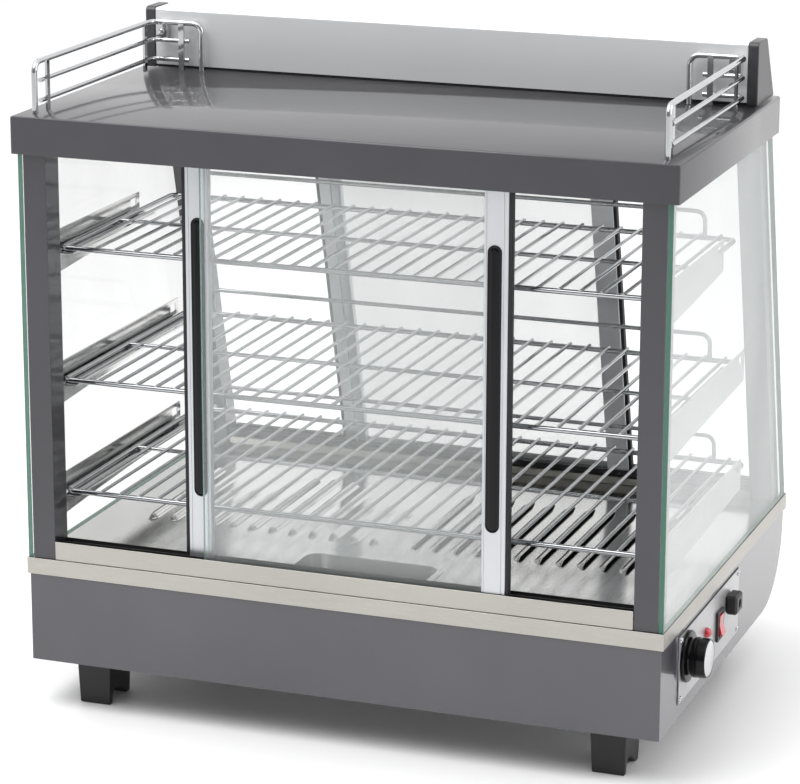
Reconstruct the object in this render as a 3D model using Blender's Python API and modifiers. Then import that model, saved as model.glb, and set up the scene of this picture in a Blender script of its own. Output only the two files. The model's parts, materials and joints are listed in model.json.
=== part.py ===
"""Countertop hot food display case: heated base, two glazed ends, sliding doors on both long sides,
three wire shelves on cantilever brackets, a top tray with guard rails and a header.

Metres, +Z up, standing on z = 0. The near long side faces -Y and is upright, the far one leans.
All shapes are drawn in case coordinates: x = 0 at mid width, y = 0 at the tray's near edge.
"""

import math

import bmesh
import bpy
from mathutils import Matrix

# Driving dimensions
GAP = 0.0003
SHEET = 0.0012
# How far a cutter runs past what it cuts
OVER = 0.010

FOOT_HEIGHT = 0.050
FOOT_X = 0.2742
FOOT_NEAR = 0.026
FOOT_FAR = 0.402
BASE_WIDTH = 0.663
BASE_NEAR = 0.0031
BASE_FAR = 0.486
BASE_TOP = 0.142
BASE_CURVE = 0.080
ACCESS_HALF = 0.240
ACCESS_NEAR = 0.080
ACCESS_FAR = 0.380
COVER_LAP = 0.015

BELT_WIDTH = 0.668
BELT_NEAR = 0.0014
BELT_FAR = 0.4885
BELT_BOTTOM = BASE_TOP + GAP
DECK_TOP = 0.1592
DECK_PLATE = 0.0015
NEAR_WRAP = 0.0140
FAR_WRAP = 0.0300

TRAY_WIDTH = 0.678
TRAY_DEPTH = 0.379
TRAY_TOP = 0.612
TRAY_LIP = 0.0375
CEILING = 0.583

POST_OUTER = 0.3275
POST_WIDTH = 0.0242
POST_NEAR = 0.0040
POST_DEPTH = 0.0290
POST_WALL = 0.0015
POST_TOP = CEILING - GAP
POST_INNER = POST_OUTER - POST_WIDTH

FAR_LEAN = 0.2644
FAR_AT_DECK = 0.483

SIDE_GLASS_IN = POST_OUTER + 0.0005
SIDE_GLASS_OUT = SIDE_GLASS_IN + 0.005

SILL_TOP = 0.1783
SILL_DEPTH = 0.030
SILL_LIP = 0.0011
TRACK_SEAT = 0.1680
TRACK_LENGTH = 2 * (POST_INNER - GAP)
TRACK_NEAR = 0.0045
TRACK_RIB = 0.0012
TRACK_CHANNEL = 0.0098
TRACK_BASE = 0.0020
TRACK_HEIGHT = 0.0080

DOOR_WIDTH = 0.320
DOOR_BOTTOM = TRACK_SEAT + GAP + TRACK_BASE + GAP
DOOR_TOP = 0.5775
DOOR_GLASS = 0.0040
SEAL = 0.0040
STILE_WIDTH = 0.024
STILE_DEPTH = 0.009
STILE_GRIP = 0.008
GLASS_SETBACK = 0.0040
HANDLE_WIDTH = 0.0140
HANDLE_LOW = 0.2395
HANDLE_HIGH = 0.5218
HANDLE_DEPTH = 0.0024
HANDLE_PROUD = 0.0015
HANDLE_FROM_OUTER = 0.0133

SHELF_HALF = 0.313
SHELF_NEAR = 0.050
SHELF_WIRE = 0.0050
CROSS_WIRE = 0.0034
CROSS_COUNT = 29
CROSS_PITCH = 0.0210
SHELF_LEG = 0.279
HOOP_RISE = 0.027
SHELVES = {
    "top": {"z": 0.472, "far": 0.322, "arm": 0.250},
    "middle": {"z": 0.3355, "far": 0.355, "arm": 0.347},
    "bottom": {"z": 0.2185, "far": 0.384, "arm": 0.347},
}

ARM_X = 0.317
ARM_PLATE = 0.0015
ARM_FLANGE = 0.022

LOUVRE_COUNT = 12
LOUVRE_FIRST = 0.0143
LOUVRE_PITCH = 0.0225
LOUVRE_NEAR = 0.160
LOUVRE_FAR = 0.357
LOUVRE_HEIGHT = 0.005
LOUVRE_WIDTH = 0.011

PAN_HALF = 0.077
PAN_NEAR = 0.040
PAN_FAR = 0.120
PAN_DEPTH = 0.036
PAN_RIM = 0.0052
PAN_WALL = 0.0010
PAN_CORNER = 0.020

HEADER_NEAR = 0.310
HEADER_FAR = 0.376
HEADER_FAR_TOP = 0.345
HEADER_LOW = 0.6152
HEADER_TOP = 0.6748
HEADER_HALF = 0.321
HEADER_WALL = 0.0016
CAP_WIDTH = 0.011

RAIL_X = 0.321
RAIL_NEAR = 0.021
RAIL_FAR = 0.300
RAIL_RETURN = 0.2645
RAIL_TOP = 0.662
RAIL_MIDDLE = 0.643
RAIL_LOW = 0.623
RAIL_WIRE = 0.0030
RAIL_THIN = 0.0024

PANEL_NEAR = 0.066
PANEL_FAR = 0.293
PANEL_LOW = 0.066
PANEL_HIGH = 0.135
PANEL_LAP = 0.0075
PANEL_BACK = BASE_WIDTH / 2 + GAP
PANEL_FACE = PANEL_BACK + SHEET
KNOB_Y = 0.092
KNOB_Z = 0.1075
LAMP_Y = 0.164
LAMP_Z = 0.1075
SWITCH_Y = 0.213
SWITCH_Z = 0.100
GLAND_Y = 0.250
GLAND_Z = 0.112
KNOB_END = 0.3565
KNOB_SKIRT = 0.026
SHAFT = 0.003

SHIELD_HALF = 0.285
SHIELD_NEAR = 0.150
SHIELD_FAR = 0.395
SHIELD_LOW = 0.095
ELEMENT_Z = 0.125
ELEMENT_RADIUS = 0.004

# The knob is the only thing that stands out of the case's width, so the case is moved to centre its box.
CASE_X = -(KNOB_END - TRAY_WIDTH / 2) / 2
CASE_Y = -BELT_FAR / 2

MATERIALS = {
    "grey_paint": ((0.105, 0.102, 0.115), 0.42, 0.55),
    "brushed_steel": ((0.60, 0.58, 0.54), 0.34, 1.0),
    "polished_steel": ((0.72, 0.72, 0.71), 0.14, 1.0),
    "chrome": ((0.78, 0.78, 0.79), 0.10, 1.0),
    "aluminium": ((0.66, 0.67, 0.69), 0.36, 0.9),
    "black_plastic": ((0.012, 0.012, 0.013), 0.45, 0.0),
    "gloss_black": ((0.008, 0.008, 0.009), 0.12, 0.0),
    "red_plastic": ((0.62, 0.02, 0.03), 0.20, 0.0),
    "glass": ((0.80, 0.90, 0.86), 0.04, 0.0),
    "plain_steel": ((0.48, 0.48, 0.47), 0.45, 1.0),
    "element_steel": ((0.16, 0.15, 0.14), 0.50, 0.8),
    "bakelite": ((0.05, 0.04, 0.035), 0.55, 0.0),
}

# Maps from a flat outline's own plane, its thickness along the third axis
IN_YZ = Matrix(((0, 0, 1, 0), (1, 0, 0, 0), (0, 1, 0, 0), (0, 0, 0, 1)))
IN_XZ = Matrix(((1, 0, 0, 0), (0, 0, -1, 0), (0, 1, 0, 0), (0, 0, 0, 1)))
IN_XY = Matrix.Identity(4)
# Sends a turned shape's height axis along +X
IN_X = Matrix(((0, 0, 1, 0), (0, 1, 0, 0), (-1, 0, 0, 0), (0, 0, 0, 1)))


def clear_scene():
    for old in list(bpy.data.objects):
        bpy.data.objects.remove(old, do_unlink=True)


def make_collection(name):
    collection = bpy.data.collections.new(name)
    bpy.context.scene.collection.children.link(collection)
    return collection


def make_material(name):
    colour, roughness, metallic = MATERIALS[name]
    material = bpy.data.materials.new(name)
    material.use_nodes = True
    shader = material.node_tree.nodes["Principled BSDF"]
    shader.inputs["Base Color"].default_value = (*colour, 1.0)
    shader.inputs["Roughness"].default_value = roughness
    shader.inputs["Metallic"].default_value = metallic
    return material


clear_scene()
parts = make_collection("hot_food_display_case")
workshop = make_collection("workshop")
materials = {name: make_material(name) for name in MATERIALS}
case = bpy.data.objects.new("case_origin", None)
case.location = (CASE_X, CASE_Y, 0.0)
workshop.objects.link(case)


# Shape helpers: each returns a loose mesh object in the workshop collection


def loose(mesh):
    piece = bpy.data.objects.new("piece", mesh)
    workshop.objects.link(piece)
    return piece


def from_bmesh(shape):
    bmesh.ops.recalc_face_normals(shape, faces=shape.faces)
    mesh = bpy.data.meshes.new("piece")
    shape.to_mesh(mesh)
    shape.free()
    return loose(mesh)


def baked(piece):
    """The object's evaluated mesh as a plain mesh object, welded and facing outwards."""
    bpy.context.view_layer.update()
    evaluated = piece.evaluated_get(bpy.context.evaluated_depsgraph_get())
    mesh = bpy.data.meshes.new_from_object(evaluated)
    mesh.transform(piece.matrix_world)
    bpy.data.objects.remove(piece, do_unlink=True)
    shape = bmesh.new()
    shape.from_mesh(mesh)
    bmesh.ops.remove_doubles(shape, verts=shape.verts, dist=0.00001)
    return from_bmesh(shape)


def box(x, y, z):
    """A block from (low, high) pairs."""
    shape = bmesh.new()
    bmesh.ops.create_cube(shape, size=1.0)
    size = Matrix.Diagonal((x[1] - x[0], y[1] - y[0], z[1] - z[0], 1.0))
    middle = Matrix.Translation(((x[0] + x[1]) / 2, (y[0] + y[1]) / 2, (z[0] + z[1]) / 2))
    bmesh.ops.transform(shape, matrix=middle @ size, verts=shape.verts)
    return from_bmesh(shape)


def flat(loops, span, plane):
    """An outline with any inner loops as holes, extruded over span = (low, high) of its third axis."""
    curve = bpy.data.curves.new("outline", "CURVE")
    curve.dimensions = "2D"
    curve.fill_mode = "BOTH"
    curve.extrude = abs(span[1] - span[0]) / 2
    for loop in loops:
        spline = curve.splines.new("POLY")
        spline.points.add(len(loop) - 1)
        for point, (a, b) in zip(spline.points, loop):
            point.co = (a, b, 0.0, 1.0)
        spline.use_cyclic_u = True
    piece = bpy.data.objects.new("outline", curve)
    workshop.objects.link(piece)
    piece.matrix_world = plane @ Matrix.Translation((0, 0, (span[0] + span[1]) / 2))
    return baked(piece)


def tube(points, radius, resolution=2):
    curve = bpy.data.curves.new("wire", "CURVE")
    curve.dimensions = "3D"
    curve.bevel_depth = radius
    curve.bevel_resolution = resolution
    curve.use_fill_caps = True
    spline = curve.splines.new("POLY")
    spline.points.add(len(points) - 1)
    for point, place in zip(spline.points, points):
        point.co = (*place, 1.0)
    piece = bpy.data.objects.new("wire", curve)
    workshop.objects.link(piece)
    return baked(piece)


def turned(profile, steps, plane=IN_XY):
    """A solid of revolution from (radius, height) points that run top to bottom on the outer side."""
    mesh = bpy.data.meshes.new("profile")
    points = [(radius, 0.0, height) for radius, height in profile]
    mesh.from_pydata(points, [(i, i + 1) for i in range(len(points) - 1)], [])
    piece = loose(mesh)
    screw = piece.modifiers.new("Screw", "SCREW")
    screw.steps = steps
    screw.render_steps = steps
    screw.use_merge_vertices = True
    screw.merge_threshold = 0.00001
    piece.matrix_world = plane
    return baked(piece)


def boolean(target, tool, operation):
    cut = target.modifiers.new("Boolean", "BOOLEAN")
    cut.operation = operation
    cut.object = tool
    result = baked(target)
    bpy.data.objects.remove(tool, do_unlink=True)
    return result


def minus(target, *tools):
    for tool in tools:
        target = boolean(target, tool, "DIFFERENCE")
    return target


def plus(target, *others):
    for other in others:
        target = boolean(target, other, "UNION")
    return target


def group(pieces):
    """Several separate pieces as one mesh, used as a single Boolean tool."""
    shape = bmesh.new()
    for piece in pieces:
        shape.from_mesh(piece.data)
        bpy.data.objects.remove(piece, do_unlink=True)
    return from_bmesh(shape)


def moved(piece, matrix):
    piece.data.transform(matrix)
    return piece


def mirrored(piece):
    """The same piece on the other side of x = 0."""
    shape = bmesh.new()
    shape.from_mesh(piece.data)
    bmesh.ops.scale(shape, vec=(-1, 1, 1), verts=shape.verts)
    bpy.data.objects.remove(piece, do_unlink=True)
    return from_bmesh(shape)


def rounded_edges(piece, width, segments, angle=math.radians(40)):
    bevel = piece.modifiers.new("Bevel", "BEVEL")
    bevel.width = width
    bevel.segments = segments
    bevel.limit_method = "ANGLE"
    bevel.angle_limit = angle
    return baked(piece)


def arc(centre, radius, start, end, steps):
    """Points on a circular arc, angles in degrees."""
    angles = [math.radians(start + (end - start) * i / steps) for i in range(steps + 1)]
    return [(centre[0] + radius * math.cos(a), centre[1] + radius * math.sin(a)) for a in angles]


def rounded_rectangle(low, high, radius, steps):
    (x0, y0), (x1, y1) = low, high
    corners = [(x1 - radius, y0 + radius, -90), (x1 - radius, y1 - radius, 0)]
    corners += [(x0 + radius, y1 - radius, 90), (x0 + radius, y0 + radius, 180)]
    return [p for x, y, a in corners for p in arc((x, y), radius, a, a + 90, steps)]


def bent(points, radius, steps):
    """A route through corner points with each inner corner turned at the radius, all turns square."""
    route = [points[0]]
    for before, corner, after in zip(points, points[1:], points[2:]):
        into = [b - a for a, b in zip(before, corner)]
        out = [b - a for a, b in zip(corner, after)]
        into = [v / math.dist(before, corner) for v in into]
        out = [v / math.dist(corner, after) for v in out]
        for i in range(steps + 1):
            turn = math.radians(90 * i / steps)
            back = radius * (1 - math.sin(turn))
            side = radius * (1 - math.cos(turn))
            route.append([c - back * a + side * b for c, a, b in zip(corner, into, out)])
    route.append(points[-1])
    return route


def add(name, piece, material, pivot=(0.0, 0.0, 0.0)):
    """Names the finished piece, sets its origin on its pivot and puts it in the parts collection."""
    piece.name = name
    piece.data.name = name
    piece.data.transform(Matrix.Translation([-p for p in pivot]))
    piece.parent = case
    piece.location = pivot
    piece.data.materials.clear()
    piece.data.materials.append(materials[material])
    piece.data.shade_smooth()
    piece.data.set_sharp_from_angle(angle=math.radians(35))
    workshop.objects.unlink(piece)
    parts.objects.link(piece)
    return piece


def far_plane(z):
    """Y of the leaning side's outer plane at height z."""
    return FAR_AT_DECK - FAR_LEAN * (z - DECK_TOP)


# Turns a near-side piece half a turn about the vertical and leans it onto the far side
TO_FAR_SIDE = Matrix(((-1, 0, 0, 0), (0, -1, -FAR_LEAN, far_plane(0)), (0, 0, 1, 0), (0, 0, 0, 1)))


# Base


def base_outline(inset):
    low = FOOT_HEIGHT + inset
    far = BASE_FAR - inset
    near = BASE_NEAR + inset
    radius = BASE_CURVE - inset
    centre = (BASE_FAR - BASE_CURVE, FOOT_HEIGHT + BASE_CURVE)
    return [(near, low)] + arc(centre, radius, -90, 0, 10) + [(far, BASE_TOP), (near, BASE_TOP)]


def make_base():
    half = BASE_WIDTH / 2
    shell = flat([base_outline(0)], (-half, half), IN_YZ)
    inside = (-half + SHEET, half - SHEET)
    hollow = flat([base_outline(SHEET)], inside, IN_YZ)
    above = box(inside, (BASE_NEAR + SHEET, BASE_FAR - SHEET), (BASE_TOP - 0.002, BASE_TOP + OVER))
    access = box(
        (-ACCESS_HALF, ACCESS_HALF), (ACCESS_NEAR, ACCESS_FAR), (FOOT_HEIGHT - OVER, FOOT_HEIGHT + OVER)
    )
    control_bay = box(
        (half - OVER, half + OVER),
        (PANEL_NEAR + PANEL_LAP, PANEL_FAR - PANEL_LAP),
        (PANEL_LOW + PANEL_LAP, PANEL_HIGH - PANEL_LAP),
    )
    add("base_shell", minus(shell, hollow, above, access, control_bay), "grey_paint")

    cover_low = FOOT_HEIGHT + SHEET + GAP
    cover_half = ACCESS_HALF + COVER_LAP
    cover_y = (ACCESS_NEAR - COVER_LAP, ACCESS_FAR + COVER_LAP)
    cover = box((-cover_half, cover_half), cover_y, (cover_low, cover_low + SHEET))
    slots = group([
        box((x - 0.003, x + 0.003), (0.200, 0.260), (cover_low - OVER, cover_low + OVER))
        for x in (-0.180, -0.160, -0.140, 0.140, 0.160, 0.180)
    ])
    add("base_cover", minus(cover, slots), "plain_steel")


def make_foot(name, side, end):
    """A tapered foot, arched underneath between an outer toe and a smaller inner one."""
    width_top, width_low, depth = 0.037, 0.033, 0.052
    top = FOOT_HEIGHT - GAP
    outline = [(0.0015, 0.0), (0.0085, 0.0), (0.0095, 0.0100), (0.0120, 0.0130), (0.0160, 0.0140)]
    outline += [(0.0230, 0.0125), (0.0310, 0.0085), (0.0380, 0.0035), (0.0430, 0.0), (depth - 0.0015, 0.0)]
    outline += [(depth, top), (0.0, top)]
    foot = flat([outline], (-width_top / 2, width_top / 2), IN_YZ)
    for vertex in foot.data.vertices:
        share = vertex.co.z / top
        vertex.co.x *= (width_low + (width_top - width_low) * share) / width_top
    turn = Matrix.Identity(4) if end == "near" else Matrix.Rotation(math.pi, 4, "Z")
    y = FOOT_NEAR if end == "near" else FOOT_FAR
    x = -FOOT_X if side == "left" else FOOT_X
    moved(foot, Matrix.Translation((x, y, 0)) @ turn)
    add(name, foot, "black_plastic")


def make_trims():
    half = BELT_WIDTH / 2
    z = (BELT_BOTTOM, DECK_TOP)
    inner = half - SHEET
    near = box((-half, half), (BELT_NEAR, NEAR_WRAP), z)
    through = (z[0] - OVER, z[1] + OVER)
    near = minus(near, box((-inner, inner), (BELT_NEAR + SHEET, NEAR_WRAP + OVER), through))
    add("near_trim", near, "brushed_steel")
    far = box((-half, half), (BELT_FAR - FAR_WRAP, BELT_FAR), z)
    far = minus(far, box((-inner, inner), (BELT_FAR - FAR_WRAP - OVER, BELT_FAR - SHEET), through))
    add("far_trim", far, "brushed_steel")


def louvre(x):
    """A pressed vent of the left bank: steep on its outer side, sloping back into the deck on the other."""
    outline = [(x, DECK_TOP - 0.0008), (x + 0.0012, DECK_TOP + LOUVRE_HEIGHT)]
    outline += [(x + 0.0030, DECK_TOP + LOUVRE_HEIGHT), (x + LOUVRE_WIDTH, DECK_TOP - 0.0008)]
    return flat([outline], (-LOUVRE_FAR, -LOUVRE_NEAR), IN_XZ)


def make_deck():
    half = BELT_WIDTH / 2
    plate_low = DECK_TOP - DECK_PLATE
    inner = half - SHEET - GAP
    plate = box((-inner, inner), (BELT_NEAR + SHEET + GAP, BELT_FAR - SHEET - GAP), (plate_low, DECK_TOP))
    skirt_y = (NEAR_WRAP + GAP, BELT_FAR - FAR_WRAP - GAP)
    skirts = minus(
        box((-half, half), skirt_y, (BELT_BOTTOM, DECK_TOP)),
        box(
            (-half + SHEET, half - SHEET),
            (skirt_y[0] - OVER, skirt_y[1] + OVER),
            (BELT_BOTTOM - OVER, DECK_TOP + OVER),
        ),
    )
    wing = half - SHEET / 2
    wings = box((-wing, wing), (skirt_y[0] + 0.001, skirt_y[1] - 0.001), (plate_low, DECK_TOP - 0.0002))
    deck = plus(plate, wings, skirts)
    deck = minus(deck, flat([pan_outline(PAN_RIM)], (plate_low - OVER, DECK_TOP + OVER), IN_XY))
    starts = [-LOUVRE_FIRST - LOUVRE_WIDTH - LOUVRE_PITCH * i for i in range(LOUVRE_COUNT)]
    left_bank = group([louvre(x) for x in starts])
    right_bank = mirrored(group([louvre(x) for x in starts]))
    add("deck", plus(deck, left_bank, right_bank), "polished_steel")


def pan_outline(inset):
    low = (-PAN_HALF + inset, PAN_NEAR + inset)
    high = (PAN_HALF - inset, PAN_FAR - inset)
    return rounded_rectangle(low, high, PAN_CORNER - inset, 5)


def make_pan():
    rim_low = DECK_TOP + GAP
    rim_high = rim_low + PAN_WALL
    low = DECK_TOP - PAN_DEPTH
    pan = plus(
        flat([pan_outline(0)], (rim_low, rim_high), IN_XY),
        flat([pan_outline(PAN_RIM + GAP)], (low, rim_low + PAN_WALL / 2), IN_XY),
    )
    well = flat([pan_outline(PAN_RIM + GAP + PAN_WALL)], (low + PAN_WALL, rim_high + OVER), IN_XY)
    pan = minus(pan, well)
    add("water_pan", pan, "polished_steel")


# Cabinet frame


def post_tube(slots):
    """The near right post: a box tube with a pair of hook slots for each bracket in its far wall."""
    x = (POST_INNER, POST_OUTER)
    y = (POST_NEAR, POST_NEAR + POST_DEPTH)
    z = (DECK_TOP + GAP, POST_TOP)
    inside = box(
        (x[0] + POST_WALL, x[1] - POST_WALL),
        (y[0] + POST_WALL, y[1] - POST_WALL),
        (z[0] - OVER, z[1] + OVER),
    )
    post = minus(box(x, y, z), inside)
    if slots:
        holes = [
            box(
                (ARM_X - 0.0013, ARM_X + 0.0013),
                (y[1] - 0.004, y[1] + 0.004),
                hook_height(shelf, level, 0.001),
            )
            for shelf in SHELVES.values()
            for level in (0, 1)
        ]
        post = minus(post, group(holes))
    return post


def hook_height(shelf, level, slack):
    low = shelf["z"] - 0.022 + 0.024 * level
    return (low - slack, low + 0.010 + slack)


def make_posts():
    add("near_right_post", post_tube(True), "grey_paint")
    add("near_left_post", mirrored(post_tube(True)), "grey_paint")
    add("far_left_post", moved(post_tube(False), TO_FAR_SIDE), "grey_paint")
    add("far_right_post", moved(mirrored(post_tube(False)), TO_FAR_SIDE), "grey_paint")


def make_side_glass():
    low = DECK_TOP + GAP
    outline = [(POST_NEAR, low), (far_plane(low), low)]
    outline += [(far_plane(POST_TOP), POST_TOP), (POST_NEAR, POST_TOP)]
    add("right_side_glass", flat([outline], (SIDE_GLASS_IN, SIDE_GLASS_OUT), IN_YZ), "glass")
    add("left_side_glass", flat([outline], (-SIDE_GLASS_OUT, -SIDE_GLASS_IN), IN_YZ), "glass")


def sill():
    """A folded step whose near lip hides the door track let in behind it."""
    half = POST_INNER - GAP
    outer = box((-half, half), (BASE_NEAR, SILL_DEPTH), (DECK_TOP + GAP, SILL_TOP))
    inside = box(
        (-half - OVER, half + OVER),
        (BASE_NEAR + SHEET, SILL_DEPTH - SHEET),
        (DECK_TOP - OVER, TRACK_SEAT - SHEET),
    )
    seat = box(
        (-half - OVER, half + OVER),
        (BASE_NEAR + SILL_LIP, SILL_DEPTH + OVER),
        (TRACK_SEAT, SILL_TOP + OVER),
    )
    return minus(outer, inside, seat)


def track(low, upward):
    """A double door channel: a base strip with three ribs."""
    half = TRACK_LENGTH / 2
    width = 3 * TRACK_RIB + 2 * TRACK_CHANNEL
    block = box((-half, half), (TRACK_NEAR, TRACK_NEAR + width), (low, low + TRACK_HEIGHT))
    if upward:
        channel_z = (low + TRACK_BASE, low + TRACK_HEIGHT + OVER)
    else:
        channel_z = (low - OVER, low + TRACK_HEIGHT - TRACK_BASE)
    for lane in (0, 1):
        y = lane_start(lane)
        block = minus(block, box((-half - OVER, half + OVER), (y, y + TRACK_CHANNEL), channel_z))
    return block


def lane_start(lane):
    return TRACK_NEAR + TRACK_RIB + lane * (TRACK_CHANNEL + TRACK_RIB)


def make_tracks():
    top = CEILING - GAP - TRACK_HEIGHT
    for side, place in (("near", IN_XY), ("far", TO_FAR_SIDE)):
        add(f"{side}_sill", moved(sill(), place), "brushed_steel")
        add(f"{side}_lower_track", moved(track(TRACK_SEAT + GAP, True), place), "black_plastic")
        add(f"{side}_upper_track", moved(track(top, False), place), "black_plastic")


# Sliding doors


def stadium(x, inset=0.0):
    radius = HANDLE_WIDTH / 2 - inset
    centre = HANDLE_WIDTH / 2
    upper = arc((x, HANDLE_HIGH - centre), radius, 0, 180, 8)
    lower = arc((x, HANDLE_LOW + centre), radius, 180, 360, 8)
    return upper + lower


def make_door(name, lane, centre, stile_side, place):
    """A glass pane held at one edge by an aluminium stile with a let-in pull, drawn on the near side."""
    front = lane_start(lane) + (TRACK_CHANNEL - STILE_DEPTH) / 2
    outer = centre + stile_side * (DOOR_WIDTH / 2 - SEAL)
    inner = outer - stile_side * STILE_WIDTH
    bare = centre - stile_side * DOOR_WIDTH / 2
    z = (DOOR_BOTTOM, DOOR_TOP)
    glass_y = (front + GLASS_SETBACK, front + GLASS_SETBACK + DOOR_GLASS)
    grip = inner + stile_side * STILE_GRIP

    pane = box(sorted((bare, grip)), glass_y, z)
    stile = box(sorted((inner, outer)), (front, front + STILE_DEPTH), z)
    groove = box(
        sorted((inner - stile_side * OVER, grip + stile_side * GAP)),
        (glass_y[0] - GAP, glass_y[1] + GAP),
        (z[0] - OVER, z[1] + OVER),
    )
    pull_x = outer - stile_side * HANDLE_FROM_OUTER
    pocket = flat([stadium(pull_x, -GAP)], (-front - HANDLE_DEPTH, -front + OVER), IN_XZ)
    stile = minus(stile, groove, pocket)
    pull = flat([stadium(pull_x)], (-front - HANDLE_DEPTH + GAP, -front + HANDLE_PROUD), IN_XZ)
    dish = flat([stadium(pull_x, 0.0014)], (-front - 0.0011, -front + OVER), IN_XZ)
    pull = minus(pull, dish)

    add(f"{name}_door_glass", moved(pane, place), "glass")
    add(f"{name}_door_stile", moved(stile, place), "aluminium")
    add(f"{name}_door_pull", moved(pull, place), "gloss_black")


def make_doors():
    make_door("near_right", 0, 0.0175, 1, IN_XY)
    make_door("near_left", 1, -0.0050, -1, IN_XY)
    make_door("far_left", 0, 0.0095, 1, TO_FAR_SIDE)
    make_door("far_right", 1, -0.0110, -1, TO_FAR_SIDE)


# Shelves and their brackets


def make_shelf(name, shelf):
    near, far, z = SHELF_NEAR, shelf["far"], shelf["z"]
    half_wire = SHELF_WIRE / 2
    low = (z - half_wire, z + half_wire)
    ring = [
        rounded_rectangle((-SHELF_HALF, near - half_wire), (SHELF_HALF, far + half_wire), 0.009, 3),
        rounded_rectangle(
            (-SHELF_HALF + SHELF_WIRE, near + half_wire), (SHELF_HALF - SHELF_WIRE, far - half_wire), 0.006, 3
        ),
    ]
    grid = flat(ring, low, IN_XY)
    cross_z = (low[0] + 0.0021, low[1] - 0.0003)
    middle = near + (far - near) * 0.5
    span = SHELF_HALF - half_wire
    spine_z = (low[0] + 0.0003, cross_z[0] - 0.0001)
    spine = box((-span, span), (middle - half_wire, middle + half_wire), spine_z)
    first = -CROSS_PITCH * (CROSS_COUNT - 1) / 2
    wires = [
        box((x - CROSS_WIRE / 2, x + CROSS_WIRE / 2), (near, far + 0.0085), cross_z)
        for x in (first + CROSS_PITCH * i for i in range(CROSS_COUNT))
    ]
    grid = plus(grid, spine, group(wires))
    corners = [(-SHELF_LEG, far, z), (-SHELF_LEG, far, z + HOOP_RISE)]
    corners += [(-x, y, h) for x, y, h in reversed(corners)]
    hoop = tube(bent(corners, 0.009, 4), half_wire - 0.0004, 1)
    add(f"{name}_shelf", plus(grid, hoop), "chrome")


def make_arm(name, shelf, side):
    """A cantilever bracket: a tapered plate with a lip and two windows, hooked into its post."""
    z = shelf["z"]
    root = POST_NEAR + POST_DEPTH + GAP
    tip = shelf["arm"]
    top = z + 0.017
    outline = [(root, z - 0.028), (root + 0.100, z - 0.023), (tip, z - 0.016), (tip, top), (root, top)]
    for level in (1, 0):
        low, high = hook_height(shelf, level, 0.0)
        outline += [(root, high), (root - 0.004, high), (root - 0.004, low), (root, low)]
    windows = group([
        box((ARM_X - OVER, ARM_X + OVER), (y, y + 0.014), (z + 0.0045, z + 0.0125))
        for y in (root + 0.006, tip - 0.022)
    ])
    plate = flat([outline], (ARM_X - ARM_PLATE / 2, ARM_X + ARM_PLATE / 2), IN_YZ)
    plate = minus(plate, windows)
    shelf_seat = z - SHELF_WIRE / 2 - GAP
    flange_z = (shelf_seat - ARM_PLATE, shelf_seat)
    flange = box((ARM_X - ARM_FLANGE, ARM_X), (root + 0.010, tip - 0.004), flange_z)
    arm = plus(plate, flange)
    add(name, arm if side == "right" else mirrored(arm), "polished_steel")


def make_shelves():
    for name, shelf in SHELVES.items():
        make_shelf(name, shelf)
        for side in ("left", "right"):
            make_arm(f"{name}_{side}_bracket", shelf, side)


# Top


def make_tray():
    half = TRAY_WIDTH / 2
    low = TRAY_TOP - TRAY_LIP
    outer = rounded_edges(box((-half, half), (0, TRAY_DEPTH), (low - 0.02, TRAY_TOP)), 0.0022, 2)
    below = box((-half - OVER, half + OVER), (-OVER, TRAY_DEPTH + OVER), (low - 0.05, low))
    inside = box((-half + SHEET, half - SHEET), (SHEET, TRAY_DEPTH - SHEET), (low - 0.03, TRAY_TOP - SHEET))
    add("top_tray", minus(outer, below, inside), "grey_paint")
    ceiling_y = (BASE_NEAR, far_plane(CEILING) - 0.001)
    ceiling = box((-SIDE_GLASS_OUT, SIDE_GLASS_OUT), ceiling_y, (CEILING, CEILING + SHEET))
    add("ceiling_panel", ceiling, "polished_steel")


def header_outline(low, inset, skirt=0.0):
    near = HEADER_NEAR + inset - skirt
    top = HEADER_TOP - inset + skirt
    far_low = HEADER_FAR - inset + skirt
    far_top = HEADER_FAR_TOP - inset + skirt
    edge = 0.005
    outline = [(near, low + inset), (far_low, low + inset)]
    outline += arc((far_top - edge, top - edge), edge, 15, 90, 4)
    outline += arc((near + edge, top - edge), edge, 90, 180, 4)
    return outline


def make_header():
    profile = [header_outline(HEADER_LOW, 0), header_outline(HEADER_LOW, HEADER_WALL)]
    add("header_profile", flat(profile, (-HEADER_HALF, HEADER_HALF), IN_YZ), "aluminium")
    start = HEADER_HALF + GAP
    for side, span in (("right", (start, start + CAP_WIDTH)), ("left", (-start - CAP_WIDTH, -start))):
        cap = flat([header_outline(TRAY_TOP + GAP, 0, 0.0012)], span, IN_YZ)
        add(f"{side}_header_cap", cap, "black_plastic")


def rail_route(z, near, turn_in):
    return bent([(-RAIL_X, near, z), (-RAIL_X, RAIL_FAR, z), (-turn_in, RAIL_FAR, z)], 0.010, 3)


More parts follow.
